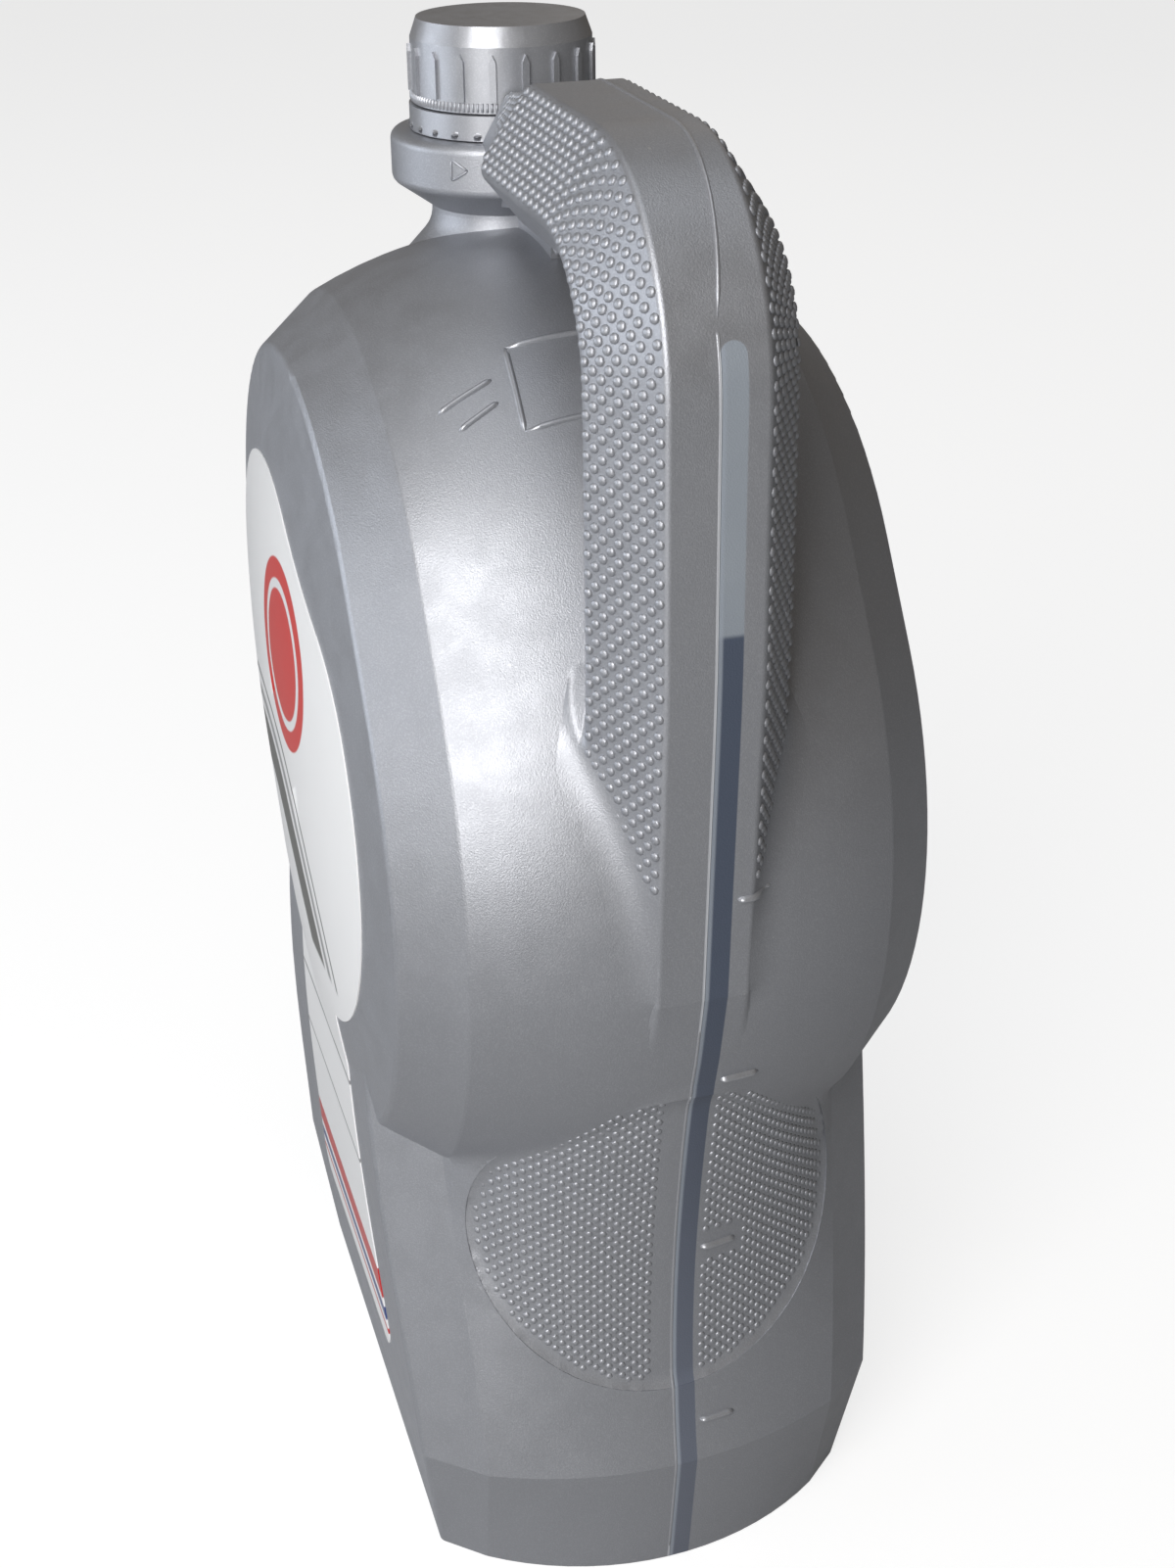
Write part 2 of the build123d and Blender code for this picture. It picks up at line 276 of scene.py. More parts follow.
def make_world():
    """A pale surround, dimmer and warmer as a light than as a background."""
    world = bpy.data.worlds.new("surround")
    bpy.context.scene.world = world
    shader = Shader(world, "Background")
    path = shader.node("ShaderNodeLightPath").outputs
    seen = shader.math("MAXIMUM", path["Is Camera Ray"], path["Is Transmission Ray"])
    seen = shader.math("MULTIPLY_ADD", path["Is Glossy Ray"], GLOSSY_SHARE, seen)
    shader.set(Color=shader.mix(seen, SURROUND_LIGHT_COLOUR, SURROUND_COLOUR))
    shader.set(Strength=shader.ramp(seen, 0.0, 1.0, SURROUND_LIGHT_STRENGTH, 1.0, "LINEAR"))


def floor_material():
    """Matt grey floor that glows pale where the camera sees it."""
    darker, paler, glow_colour = (0.33, 0.33, 0.33), (0.35, 0.35, 0.35), (1.0, 1.0, 1.0)
    shader = new_shader("floor")
    shader.set(Base_Color=shader.mix(shader.noise(shader.place(), scale=4.0), darker, paler))
    shader.set(Roughness=0.8, Specular_IOR_Level=0.1, Emission_Color=glow_colour)
    path = shader.node("ShaderNodeLightPath").outputs
    seen = shader.math("MULTIPLY_ADD", path["Is Glossy Ray"], GLOSSY_SHARE, path["Is Camera Ray"])
    shader.set(Emission_Strength=shader.times(seen, FLOOR_GLOW))
    return shader.owner


def make_floor():
    """A plain floor under the bottle."""
    half = FLOOR_HALF
    mesh = bpy.data.meshes.new("floor")
    mesh.from_pydata([(-half, -half, 0), (half, -half, 0), (half, half, 0), (-half, half, 0)],
                     [], [(0, 1, 2, 3)])
    mesh.materials.append(floor_material())
    floor = bpy.data.objects.new("floor", mesh)
    floor.location.z = -FLOOR_DROP
    bpy.context.scene.collection.objects.link(floor)


def pearl_grey(shader, place):
    """Silver-grey in two tones, with fine flakes and a few pale specks."""
    darker, paler = (0.335, 0.345, 0.375), (0.375, 0.385, 0.415)
    flake_colour, flake_ramp = (0.50, 0.51, 0.54), (0.45, 0.72, 0.0, 0.35)
    speck_colour, speck_ramp = (0.60, 0.60, 0.60), (0.74, 0.80, 0.0, 0.5)
    body = shader.mix(shader.noise(place, scale=9.0, detail=3.0), darker, paler)
    fine = shader.noise(place, scale=2600.0, detail=1.0)
    body = shader.mix(shader.ramp(fine, *flake_ramp), body, flake_colour)
    coarse = shader.noise(place, scale=620.0, detail=2.0, roughness=0.7)
    return shader.mix(shader.ramp(coarse, *speck_ramp), body, speck_colour)


def strip_mask(shader, across, height):
    """One inside the level strip, with a round upper end, and zero outside."""
    half = STRIP_WIDTH / 2
    soft_inside, soft_outside = 0.15 * MM, 0.1 * MM
    sideways = shader.math("SUBTRACT", across, half)
    above = shader.math("MAXIMUM", shader.math("SUBTRACT", height, STRIP_TOP - half), 0.0)
    reach = shader.length(sideways, above)
    return shader.ramp(reach, half - soft_inside, half + soft_outside, 1.0, 0.0)


def strip_colour(shader, place, across, height):
    """Bare film over the oil level, the darker oil under it, and a paler edge at the seam."""
    thin_film, thick_film = (0.25, 0.28, 0.32), (0.30, 0.33, 0.37)
    low_oil, high_oil = (0.135, 0.15, 0.19), (0.066, 0.083, 0.122)
    oil_darkest_height, level_soft = 200 * MM, 0.6 * MM
    edge_colour, edge_ramp = (0.32, 0.355, 0.41), (0.8 * MM, 1.4 * MM, 0.75, 0.0)
    film = shader.mix(shader.noise(place, scale=60.0), thin_film, thick_film)
    oil = shader.mix(shader.ramp(height, 0.0, oil_darkest_height), low_oil, high_oil)
    colour = shader.mix(shader.below(height, OIL_LEVEL, level_soft), film, oil)
    return shader.mix(shader.ramp(across, *edge_ramp), colour, edge_colour)


def seam_ridge_and_highlight_mask(shader, across, height):
    """One on the thin parting line beside the strip, up to a little over the strip's end. It raises
    the line's ridge and paints a pale highlight on it.
    """
    half_inside, half_outside, fade = 0.16 * MM, 0.34 * MM, 2 * MM
    line = shader.ramp(shader.math("ABSOLUTE", across), half_inside, half_outside, 1.0, 0.0)
    return shader.times(line, shader.ramp(height, STRIP_TOP, STRIP_TOP + fade, 1.0, 0.0))


def moulded_grain(shader, place, seam, strip):
    """Slow waves and fine orange peel, with the seam standing up and the strip pressed in.

    Each bump has its strength and its height.
    """
    wave_bump, peel_bump = (0.06, 0.8 * MM), (0.5, 0.105 * MM)
    seam_bump, strip_bump = (0.6, 0.25 * MM), (-0.9, 0.4 * MM)
    normal = shader.bump(shader.noise(place, scale=40.0), *wave_bump)
    normal = shader.bump(shader.noise(place, scale=3000.0, detail=1.0), *peel_bump, normal)
    normal = shader.bump(seam, *seam_bump, normal)
    return shader.bump(strip, *strip_bump, normal)


def bottle_plastic():
    """Pearlescent silver-grey polyethylene with orange-peel grain, the level strip and a painted
    highlight along the parting line.
    """
    handle_side_x, handle_side_fade = 60 * MM, 2 * MM
    # The seam colour, paler than the body, is a painted highlight along the parting line.
    seam_highlight_colour, metallic, rough_ramp = (0.62, 0.64, 0.68), 0.66, (0.3, 0.7, 0.41, 0.48)
    shader = new_shader("bottle_plastic")
    place = shader.place()
    along, across, height = shader.split(place)
    handle_side = shader.ramp(along, handle_side_x, handle_side_x + handle_side_fade)
    strip = shader.times(strip_mask(shader, across, height), handle_side)
    seam = shader.times(seam_ridge_and_highlight_mask(shader, across, height), handle_side)
    body = pearl_grey(shader, place)
    colour = shader.mix(strip, body, strip_colour(shader, place, across, height))
    # Painted highlight: the parting line is coloured paler than the body.
    shader.set(Base_Color=shader.mix(seam, colour, seam_highlight_colour))
    shader.set(Metallic=shader.times(shader.math("SUBTRACT", 1.0, strip), metallic))
    patches = shader.noise(place, scale=140.0, detail=3.0)
    shader.set(Roughness=shader.ramp(patches, *rough_ramp))
    shader.set(Normal=moulded_grain(shader, place, seam, strip))
    return shader.owner


def cap_plastic():
    """Smooth silver-grey moulded plastic, glossier than the bottle. Being paler than the bottle, it
    is also a painted highlight on the bottle's raised marks, ridge and frame.
    """
    darker, paler = (0.37, 0.38, 0.41), (0.43, 0.44, 0.47)
    flake_colour, flake_ramp = (0.60, 0.61, 0.64), (0.45, 0.75, 0.0, 0.3)
    rough_ramp, grain_bump = (0.3, 0.7, 0.30, 0.38), (0.12, 0.12 * MM)
    shader = new_shader("cap_plastic")
    place = shader.place()
    body = shader.mix(shader.noise(place, scale=90.0, detail=3.0), darker, paler)
    fine = shader.noise(place, scale=3000.0, detail=1.0)
    body = shader.mix(shader.ramp(fine, *flake_ramp), body, flake_colour)
    patches = shader.noise(place, scale=260.0)
    shader.set(Base_Color=body, Metallic=0.6)
    shader.set(Roughness=shader.ramp(patches, *rough_ramp))
    shader.set(Normal=shader.bump(shader.noise(place, scale=900.0), *grain_bump))
    return shader.owner


def distance_from(shader, across, height, centre):
    """The distance from a point of the front."""
    sideways = shader.math("SUBTRACT", across, centre[0])
    upwards = shader.math("SUBTRACT", height, centre[1])
    return shader.length(sideways, upwards)


def print_emblem(shader, paper, across, height):
    """A red disc with a pale ring in it."""
    centre, radius, ring = (4 * MM, 211 * MM), 22 * MM, (15 * MM, 17.2 * MM)
    red, pale, soft = (0.62, 0.02, 0.015), (0.82, 0.82, 0.83), 0.3 * MM
    distance = distance_from(shader, across, height, centre)
    paper = shader.mix(shader.below(distance, radius, soft), paper, red)
    return shader.mix(shader.between(distance, *ring, soft), paper, pale)


def print_arcs(shader, paper, across, height):
    """Three dark arcs round one centre, cut off level at their foot."""
    centre, foot, foot_fade, soft = (-30 * MM, 120 * MM), 140 * MM, 2 * MM, 0.3 * MM
    arcs = (
        (52 * MM, 13 * MM, (0.09, 0.09, 0.085)),
        (63 * MM, 3.2 * MM, (0.30, 0.30, 0.31)),
        (69 * MM, 1.4 * MM, (0.12, 0.12, 0.125)),
    )
    distance = distance_from(shader, across, height, centre)
    over_foot = shader.ramp(height, foot, foot + foot_fade)
    for radius, width, colour in arcs:
        arc = shader.between(distance, radius - width / 2, radius + width / 2, soft)
        paper = shader.mix(shader.times(arc, over_foot), paper, colour)
    return paper


def print_bands(shader, paper, height):
    """Level bands: two red ones with a blue one between them, and two grey lines higher up."""
    red, blue, grey, soft = (0.55, 0.02, 0.02), (0.03, 0.06, 0.22), (0.25, 0.25, 0.26), 0.25 * MM
    bands = (
        (56 * MM, 64 * MM, red),
        (50 * MM, 53.5 * MM, blue),
        (46 * MM, 47.5 * MM, red),
        (112 * MM, 113 * MM, grey),
        (92 * MM, 93 * MM, grey),
    )
    for low, high, colour in bands:
        paper = shader.mix(shader.between(height, low, high, soft), paper, colour)
    return paper


def label_film():
    """Glossy white film with a plain printed design of a disc, arcs and bands."""
    darker, paler, wave_bump = (0.88, 0.88, 0.885), (0.91, 0.91, 0.915), (0.1, 0.6 * MM)
    shader = new_shader("label_film")
    place = shader.place()
    across, _, height = shader.split(place)
    paper = shader.mix(shader.noise(place, scale=30.0), darker, paler)
    paper = print_emblem(shader, paper, across, height)
    paper = print_arcs(shader, paper, across, height)
    paper = print_bands(shader, paper, height)
    shader.set(Base_Color=paper, Roughness=0.30, Coat_Weight=0.15, Coat_Roughness=0.12)
    shader.set(Normal=shader.bump(shader.noise(place, scale=45.0), *wave_bump))
    return shader.owner


def liner_foam():
    """Pale foamed sealing disc."""
    darker, paler, cell_bump = (0.74, 0.74, 0.71), (0.84, 0.84, 0.81), (0.3, 0.1 * MM)
    shader = new_shader("liner_foam")
    cells = shader.noise(shader.place(), scale=1500.0)
    shader.set(Base_Color=shader.mix(cells, darker, paler), Roughness=0.7)
    shader.set(Normal=shader.bump(cells, *cell_bump))
    return shader.owner


def oil_liquid():
    """Clear amber oil."""
    darker, paler = (0.50, 0.25, 0.04), (0.56, 0.30, 0.06)
    shader = new_shader("oil")
    shader.set(Base_Color=shader.mix(shader.noise(shader.place(), scale=12.0), darker, paler))
    shader.set(Roughness=0.06, IOR=1.47, Transmission_Weight=0.6)
    return shader.owner


def dress(node, material):
    """Give a CAD node its material."""
    mesh = nodes[node].data
    mesh.materials.clear()
    mesh.materials.append(material)


def add_piece(name, points, faces, material, body="bottle"):
    """One new smooth piece from its points and faces, riding on a body."""
    mesh = bpy.data.meshes.new(name)
    mesh.from_pydata([tuple(point) for point in points], [], faces)
    mesh.materials.append(material)
    for polygon in mesh.polygons:
        polygon.use_smooth = True
    mesh.update()
    piece = bpy.data.objects.new(name, mesh)
    bpy.context.scene.collection.objects.link(piece)
    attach(piece, body)


def surface_tree(node):
    """A search tree of a CAD node's faces."""
    mesh = nodes[node].data
    return BVHTree.FromPolygons([vertex.co.copy() for vertex in mesh.vertices],
                                [tuple(polygon.vertices) for polygon in mesh.polygons])


def traced(tree, rays, reach):
    """Each place where a ray first meets the surface, with the surface's normal there."""
    found = [tree.ray_cast(start, way, reach) for start, way in rays]
    return [(spot, normal) for spot, normal, _, _ in found if spot is not None]


def grid_faces(start, rows, columns):
    """The faces that join rows of points, numbered from start, into one sheet."""
    faces = []
    for row in range(rows - 1):
        for column in range(columns - 1):
            a = start + row * columns + column
            faces.append((a, a + 1, a + 1 + columns, a + columns))
    return faces


def add_dome(points, faces, centre, normal, radius, height, sides):
    """A low rounded bump, sunk a little into what it stands on."""
    side = normal.orthogonal().normalized()
    other = normal.cross(side)
    start = len(points)
    for share, rise in DOME_RING_SHARES:
        for k in range(sides):
            angle = 2 * math.pi * k / sides
            out = side * math.cos(angle) + other * math.sin(angle)
            points.append(centre + out * radius * share + normal * height * rise)
    points.append(centre + normal * height)
    for row in (0, 1):
        for k in range(sides):
            a = start + row * sides + k
            b = start + row * sides + (k + 1) % sides
            faces.append((a, b, b + sides, a + sides))
    top = start + 2 * sides
    for k in range(sides):
        faces.append((top + k, top + (k + 1) % sides, top + sides))


def raised_line(points, faces, track, width, rise):
    """A low ridge along a track of places and normals, rounded and sunk at its sides."""
    start = len(points)
    section = len(LINE_SECTION_SHARES)
    last = len(track) - 1
    for k, (spot, normal) in enumerate(track):
        ahead = track[min(k + 1, last)][0] - track[max(k - 1, 0)][0]
        across = ahead.cross(normal).normalized()
        size = LINE_END_SHARE if k in (0, last) else 1.0
        for side, up in LINE_SECTION_SHARES:
            points.append(spot + across * side * width * size + normal * up * rise * size)
    faces += grid_faces(start, last + 1, section)
    faces.append(tuple(start + j for j in range(section))[::-1])
    faces.append(tuple(start + last * section + j for j in range(section)))


def handle_route():
    """The handle's centre line from the root to the foot, in fine steps.

    Each step is a place, the outward direction there and how far the section has shrunk towards
    its size at the root, from zero along the handle to one or a little more at the root's start.
    """
    route = []
    corner_x = HANDLE_MIDDLE_X - HANDLE_CORNER
    corner_z = HANDLE_MIDDLE_HEIGHT - HANDLE_CORNER
    x = ROOT_START_X
    while x < corner_x:
        shrunk = max(0.0, (ROOT_END_X - x) / ROOT_LENGTH)
        route.append((Vector((x, 0, HANDLE_MIDDLE_HEIGHT - ROOT_DROP * shrunk)), UP, shrunk))
        x += ROUTE_STEP
    count = int(HANDLE_CORNER * math.pi / 2 / ROUTE_STEP)
    for k in range(count):
        angle = math.pi / 2 * k / count
        out = Vector((math.sin(angle), 0, math.cos(angle)))
        route.append((Vector((corner_x, 0, corner_z)) + out * HANDLE_CORNER, out, 0.0))
    z = corner_z
    while z > HANDLE_LEAN_HEIGHT:
        route.append((Vector((HANDLE_MIDDLE_X, 0, z)), ACROSS, 0.0))
        z -= ROUTE_STEP
    lean = Vector((HANDLE_MIDDLE_X, 0, HANDLE_LEAN_HEIGHT))
    run = HANDLE_FOOT - lean
    count = int(run.length / ROUTE_STEP)
    out = Vector((-run.z, 0, run.x)).normalized()
    for k in range(count):
        route.append((lean + run * (k / count), out, 0.0))
    return route


def section_size(sizes, shrunk):
    """A size of the handle's section, between its full one and the one at the root."""
    full, root = sizes
    return full * (1 - shrunk) + root * shrunk


def slope_hit(tree, step, share, way):
    """Where a dome stands on one sloping outer side of the handle, as a list of one or none.

    The share runs over the slope from the outer face to the handle's widest line.
    """
    low_end, share_end, root_cut = 197.0 * MM, 0.93, 0.3
    look, near, straight = 6 * MM, 0.9 * MM, 0.9
    centre, out, shrunk = step
    if centre.z < low_end or share > share_end - root_cut * shrunk:
        return []
    face_half = section_size(SECTION_FACE_HALF, shrunk)
    spread = section_size(SECTION_HALF, shrunk) - face_half
    widest = section_size(SECTION_WIDEST, shrunk)
    away = Vector((0, way, 0))
    spot = (centre + out * (section_size(SECTION_DEPTH, shrunk) - widest * share)
            + away * (face_half + spread * share))
    slope = (out * spread + away * widest).normalized()
    return [(hit, normal) for hit, normal in traced(tree, [(spot + slope * look, -slope)], 2 * look)
            if (hit - spot).length <= near and normal.dot(slope) >= straight]


def handle_domes(tree, material):
    """Staggered rows of domes on the two sloping outer sides of the handle."""
    pitch, columns, radius, height, sides = 3.75 * MM, 10, 1.06 * MM, 0.58 * MM, 10
    first_share, last_share, pitch_line = 0.08, 0.92, 5.5 * MM
    route = handle_route()
    line = [centre + out * pitch_line for centre, out, _ in route]
    lengths = [0.0]
    for before, after in zip(line, line[1:]):
        lengths.append(lengths[-1] + (after - before).length)
    for side_name, way in (("front", -1), ("back", 1)):
        points, faces = [], []
        for column, share in enumerate(spaced(first_share, last_share, columns)):
            mark = pitch / 2 if column % 2 else 0.0
            for step, length in zip(route, lengths):
                if length < mark:
                    continue
                mark += pitch
                for hit, normal in slope_hit(tree, step, share, way):
                    add_dome(points, faces, hit, normal, radius, height, sides)
        add_piece("handle_domes_" + side_name, points, faces, material)


def panel_holds(way, y, z):
    """Whether a grip dome may stand here: in the panel, clear of the strip, ridge and mark."""
    bare_low, bare_high = (-5.2 * MM, 6.8 * MM) if way > 0 else (-3 * MM, 3 * MM)
    mark_end, mark_room, mark_height = 16 * MM, 4 * MM, MARK_HEIGHTS[2]
    if bare_low < y < bare_high:
        return False
    if way > 0 and 0 < y < mark_end and abs(z - mark_height) < mark_room:
        return False
    return z > PANEL_HEIGHT or y * y + (z - PANEL_HEIGHT) ** 2 < PANEL_RADIUS ** 2


def panel_domes(tree, material):
    """Fine staggered domes in the grip panel of each lower side."""
    column_step, pitch, radius, height, sides = 1.45 * MM, 2.85 * MM, 0.86 * MM, 0.40 * MM, 7
    panel_top, top_bend, facing = 141.5 * MM, 0.0192 / MM, 0.55
    columns = int(PANEL_RADIUS / column_step)
    for side_name, way in (("handle_side", 1), ("neck_side", -1)):
        points, faces = [], []
        for column in range(-columns, columns + 1):
            y = column * column_step
            z = PANEL_HEIGHT - PANEL_RADIUS + (pitch / 2 if column % 2 else 0.0)
            while z < panel_top - top_bend * y * y:
                rays = [(Vector((way * OUTSIDE, y, z)), -way * ACROSS)]
                for hit, normal in traced(tree, rays, OUTSIDE):
                    if normal.x * way > facing and panel_holds(way, y, z):
                        add_dome(points, faces, hit, normal, radius, height, sides)
                z += pitch
        add_piece("grip_domes_" + side_name, points, faces, material)


def fill_marks(tree, material):
    """Raised marks beside the level strip, one for each litre."""
    start, end, width, rise, count = 6.2 * MM, 14.6 * MM, 1.5 * MM, 1.1 * MM, 12
    points, faces = [], []
    for z in MARK_HEIGHTS:
        rays = [(Vector((OUTSIDE, y, z)), -ACROSS) for y in spaced(start, end, count)]
        raised_line(points, faces, traced(tree, rays, OUTSIDE), width, rise)
    add_piece("fill_marks", points, faces, material)


def handle_ridge(tree):
    """The ridge's track over the handle, which drifts off the middle as the handle rises."""
    low_end, drift_share, drift_most = 302 * MM, 0.27, 6 * MM
    first, every, look, reach = 200, 30, 25 * MM, 30 * MM
    rays = []
    for centre, out, _ in handle_route()[first::every]:
        if centre.z < low_end:
            break
        drift = min(drift_most, (centre.z - low_end) * drift_share)
        rays.append((centre + out * look + Vector((0, drift, 0)), -out))
    return traced(tree, rays, reach)


def side_ridge(tree):
    """The ridge's track down the handle side, beside the level strip."""
    high, low, count = 172 * MM, 4 * MM, 57
    rays = [(Vector((OUTSIDE, 0, z)), -ACROSS) for z in spaced(high, low, count)]
    return traced(tree, rays, OUTSIDE)


def shoulder_ridge(tree):
    """The ridge's track on the shoulder, under the handle."""
    near, far, count, height, reach = 13 * MM, 76 * MM, 22, 300 * MM, 100 * MM
    rays = [(Vector((x, 0, height)), -UP) for x in spaced(near, far, count)]
    return traced(tree, rays, reach)


def neck_ridge(tree):
    """The ridge's track up the neck, under the handle's root."""
    low, high, count, start, reach = 295.5 * MM, 306.7 * MM, 9, 60 * MM, 100 * MM
    rays = [(Vector((start, 0, z)), -ACROSS) for z in spaced(low, high, count)]
    return traced(tree, rays, reach)


def parting_ridge(tree, material):
    """The thin moulding ridge: over the handle, down the side, on the shoulder, on the neck."""
    parts = (
        (handle_ridge, 0.9 * MM, 0.35 * MM),
        (side_ridge, 0.7 * MM, 0.16 * MM),
        (shoulder_ridge, 1.1 * MM, 0.35 * MM),
        (neck_ridge, 2.2 * MM, 0.6 * MM),
    )
    points, faces = [], []
    for ridge, width, rise in parts:
        raised_line(points, faces, ridge(tree), width, rise)
    add_piece("parting_ridge", points, faces, material)


def shoulder_frame(tree, material):
    """A plain raised frame on the shoulder under the handle, with two bars at each side."""
    near, far, near_half, far_half = 35 * MM, 53 * MM, 19 * MM, 20 * MM
    bar_start = 23.5 * MM
    first_bar, second_bar = (41 * MM, 43 * MM, 35 * MM), (46 * MM, 48 * MM, 32 * MM)
    width, rise, height, reach, count = 1.5 * MM, 0.7 * MM, 300 * MM, 100 * MM, 13
    lines = [
        ((near, -near_half), (near, near_half)),
        ((far, -far_half), (far, far_half)),
        ((near, -near_half), (far, -far_half)),
        ((near, near_half), (far, far_half)),
    ]
    for way in (-1, 1):
        for start_x, end_x, end_y in (first_bar, second_bar):
            lines.append(((start_x, way * bar_start), (end_x, way * end_y)))
    points, faces = [], []
    for start, end in lines:
        places = spaced(Vector((*start, height)), Vector((*end, height)), count)
        track = traced(tree, [(place, -UP) for place in places], reach)
        raised_line(points, faces, track, width, rise)
    add_piece("shoulder_frame", points, faces, material)


def collar_arrows(material):
    """Raised arrow heads on the collar, one towards the front and one towards the back."""
    collar_radius, collar_middle = 25.2 * MM, 309.9 * MM
    half_angle, half_height = math.radians(4.4), 2.3 * MM
    width, rise, count = 0.8 * MM, 0.45 * MM, 7
    corners = [(-half_angle, half_height), (-half_angle, -half_height), (half_angle, 0)]
    points, faces = [], []
    for turn in (math.radians(-37), math.radians(143)):
        for start, end in zip(corners, corners[1:] + corners[:1]):
            track = []
            for angle, z in zip(spaced(start[0], end[0], count), spaced(start[1], end[1], count)):
                out = heading(turn + angle)
                track.append((Vector((NECK_X, 0, collar_middle + z)) + out * collar_radius, out))
            raised_line(points, faces, track, width, rise)
    add_piece("collar_arrows", points, faces, material)


def rounded(bare, rounds):
    """Depths with their concave corners filled round, as by a film that is drawn tight."""
    filled = bare.copy()
    for _ in range(rounds):
        blurred = filled.copy()
        blurred[1:-1, 1:-1] = (filled[:-2, 1:-1] + filled[2:, 1:-1] + filled[1:-1, :-2]
                               + filled[1:-1, 2:]) / 4
        filled = np.maximum(bare, blurred)
    return filled


def bridged(bare):
    """Depths with each column's hollows bridged by straight runs."""
    filled = bare.copy()
    rows = np.arange(len(bare))
    for column in range(bare.shape[1]):
        depths = bare[:, column]
        corners = []
        for row in rows:
            while len(corners) > 1:
                first, second = corners[-2], corners[-1]
                rise = (depths[row] - depths[first]) * (second - first)
                if depths[second] * (row - first) > depths[first] * (row - first) + rise:
                    break
                corners.pop()
            corners.append(row)
        filled[:, column] = np.interp(rows, corners, depths[corners])
    return filled


def surface_depths(tree, spots, way):
    """How far out the surface lies at each spot of a grid; not a number in open air."""
    reach = 300 * MM
    depths = np.full((len(spots), len(spots[0])), np.nan)
    for row, line in enumerate(spots):
        for column, spot in enumerate(line):
            for hit, _ in traced(tree, [(spot + way * OUTSIDE, -way)], reach):
                depths[row, column] = hit.dot(way)
    return depths


def fairing(name, tree, way, low, high, step, fill, limit, material):
    """A sheet that fills the concave corners seen from one side, as a moulded fillet does.

    The corners low and high give the sheet's reach sideways and upwards. The sheet is lifted off
    the surface only where a corner is filled, by no more than the limit at that height, and is
    sunk a little elsewhere.
    """
    behind_all, least_lift, sunk = -300 * MM, 0.008 * MM, -0.012 * MM
    across = Vector((-way.y, way.x, 0))
    columns = int((high[0] - low[0]) / step) + 1
    rows = int((high[1] - low[1]) / step) + 1
    heights = [low[1] + row * step for row in range(rows)]
    spots = [[across * (low[0] + column * step) + UP * height for column in range(columns)]
             for height in heights]
    bare = surface_depths(tree, spots, way)
    open_air = np.isnan(bare)
    bare[open_air] = behind_all
    most = np.array([limit(height) for height in heights])[:, None]
    lift = np.minimum(fill(bare) - bare, most)
    lift[open_air] = 0
    lifted = lift > least_lift
    depths = bare + np.where(lifted, lift, sunk)
    points = [spots[row][column] + way * depths[row, column]
              for row in range(rows) for column in range(columns)]
    faces = []
    for face in grid_faces(0, rows, columns):
        row, column = divmod(face[0], columns)
        cell = np.s_[row:row + 2, column:column + 2]
        if lifted[cell].any() and not open_air[cell].any():
            faces.append(face)
    used = sorted({index for face in faces for index in face})
    number = {index: k for k, index in enumerate(used)}
    add_piece(name, [points[index] for index in used],
              [tuple(number[index] for index in face) for face in faces], material)


def handle_fillets(tree, material):
    """A fillet at the front and back of the handle, where it comes out of the body."""
    angle, near, far, low, high = math.radians(34), 30 * MM, 64 * MM, 148 * MM, 242 * MM
    step, rounds, most, fade_height, fade = 0.7 * MM, 45, 5 * MM, 236 * MM, 30 * MM

    def limit(height):
        """The fillet fades out upwards, where the handle leaves the body."""
        return most * min(1.0, max(0.0, (fade_height - height) / fade))

    fairing("handle_fillet_front", tree, heading(-angle), (near, low), (far, high), step,
            lambda bare: rounded(bare, rounds), limit, material)
    fairing("handle_fillet_back", tree, heading(angle), (-far, low), (-near, high), step,
            lambda bare: rounded(bare, rounds), limit, material)


def handle_foot(tree, material):
    """The straight fairing under the handle's foot."""
    half, low, high, step, most = 13 * MM, 150 * MM, 186 * MM, 0.5 * MM, 3 * MM
    fairing("handle_foot", tree, ACROSS, (-half, low), (half, high), step, bridged,
            lambda height: most, material)


def grip_edges(tree, material):
    """The rounded step at each grip panel's edge."""
    half, low, high, step, rounds, most = 45 * MM, 53 * MM, 145 * MM, 0.9 * MM, 8, 2 * MM
    for side_name, way in (("handle_side", ACROSS), ("neck_side", -ACROSS)):
        fairing("grip_edge_" + side_name, tree, way, (-half, low), (half, high), step,
                lambda bare: rounded(bare, rounds), lambda height: most, material)


def ring_of_ribs(name, count, radius, low, high, width, body, material):
    """Short upright ribs round the neck's axis, standing on a round wall."""
    proud, sunk, end_share = 0.45 * MM, 0.1 * MM, 0.2
    section_shares = ((-0.5, 0.0), (-0.25, 0.8), (0.0, 1.0), (0.25, 0.8), (0.5, 0.0))
    rows = ((low, end_share), (low + width / 2, 1.0), (high - width / 2, 1.0), (high, end_share))
    root = radius - sunk
    points, faces = [], []
    for k in range(count):
        out = heading(2 * math.pi * k / count)
        side = Vector((-out.y, out.x, 0))
        start = len(points)
        for z, share in rows:
            for across, reach in section_shares:
                away = root + (proud + sunk) * reach * share
                points.append(Vector((NECK_X, 0, z)) + out * away + side * across * width)
        faces += grid_faces(start, len(rows), len(section_shares))
    add_piece(name, points, faces, material, body)


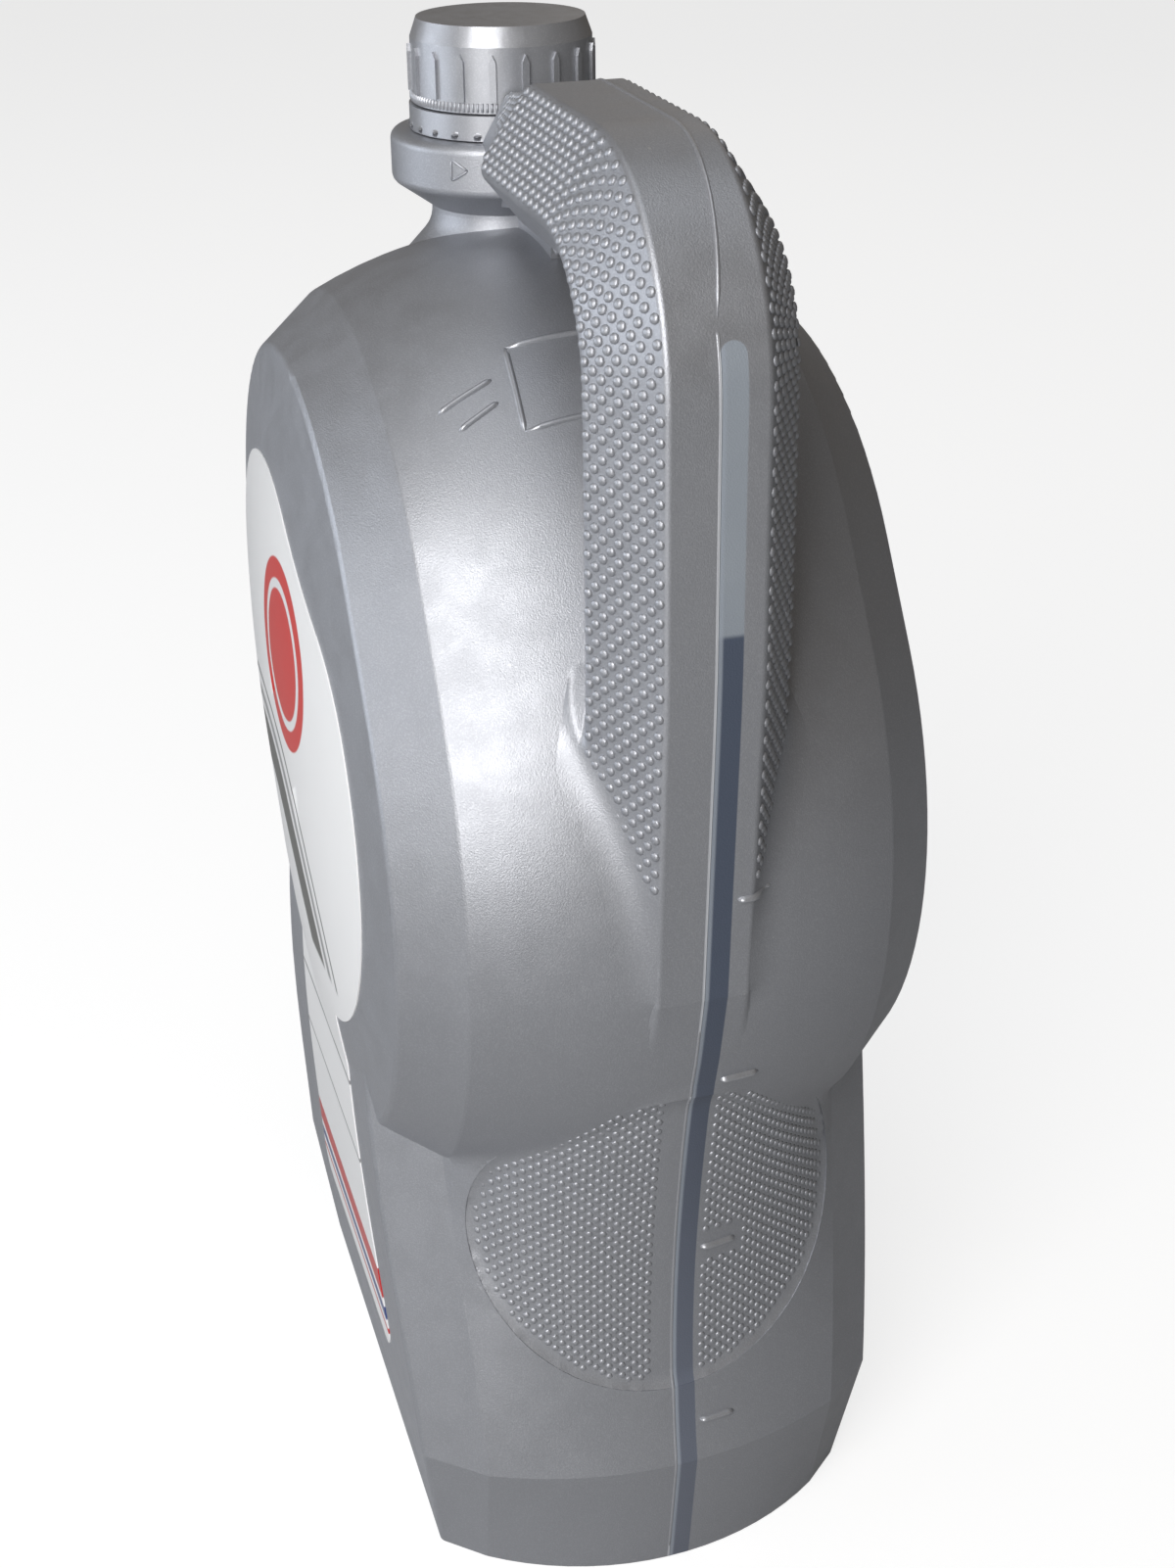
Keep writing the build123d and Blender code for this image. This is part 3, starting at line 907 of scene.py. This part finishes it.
def cap_ribs(material):
    """The fine ribs at the cap's lower edge."""
    count, width, low, high = 120, 0.7 * MM, 0.2 * MM, 2.2 * MM
    ring_of_ribs("cap_fine_ribs", count, CAP_RADIUS, CAP_SKIRT + low, CAP_SKIRT + high, width,
                 "cap", material)


def ring_nubs(material):
    """The nubs round the tamper ring, which stays on the neck."""
    count, width, low, high = 24, 2.0 * MM, 0.1 * MM, 1.8 * MM
    ring_of_ribs("ring_nubs", count, RING_RADIUS, RING_LOW + low, RING_LOW + high, width,
                 "bottle", material)


def neck_thread(material):
    """The thread on the neck, hidden by the cap until it is turned up."""
    turns, per_turn, lead, fade_steps = 2.3, 72, 5.0 * MM, 8
    start_height, proud, sunk = 322.6 * MM, 0.8 * MM, 0.1 * MM
    foot_half, crest_half = 1.1 * MM, 0.5 * MM
    profile = ((-foot_half, False), (-crest_half, True), (crest_half, True), (foot_half, False))
    points = []
    count = int(turns * per_turn)
    for k in range(count + 1):
        out = heading(2 * math.pi * k / per_turn)
        fade = min(1.0, k / fade_steps, (count - k) / fade_steps)
        middle = start_height + lead * k / per_turn
        for rise, is_crest in profile:
            away = FINISH_RADIUS + (proud * fade if is_crest else -sunk)
            points.append(Vector((NECK_X, 0, middle + rise)) + out * away)
    faces = [(a, d, c, b) for a, b, c, d in grid_faces(0, count + 1, len(profile))]
    add_piece("neck_thread", points, faces, material)


bpy.context.scene.view_settings.view_transform = "Standard"
make_camera()
make_lights()
make_world()
make_floor()

plastic = bottle_plastic()
cap_and_highlight_material = cap_plastic()
dress("bottle_body", plastic)
dress("screw_cap", cap_and_highlight_material)
dress("tamper_ring", cap_and_highlight_material)
dress("front_label", label_film())
dress("cap_liner", liner_foam())
dress("oil_fill", oil_liquid())

body_tree = surface_tree("bottle_body")
handle_domes(body_tree, plastic)
panel_domes(body_tree, plastic)
# The fill marks, parting ridge and shoulder frame are the bottle's own plastic; the paler cap
# plastic on them is a painted highlight.
fill_marks(body_tree, cap_and_highlight_material)
parting_ridge(body_tree, cap_and_highlight_material)
neck_thread(plastic)
shoulder_frame(body_tree, cap_and_highlight_material)
collar_arrows(plastic)
handle_fillets(body_tree, plastic)
handle_foot(body_tree, plastic)
grip_edges(body_tree, plastic)
cap_ribs(cap_and_highlight_material)
ring_nubs(cap_and_highlight_material)
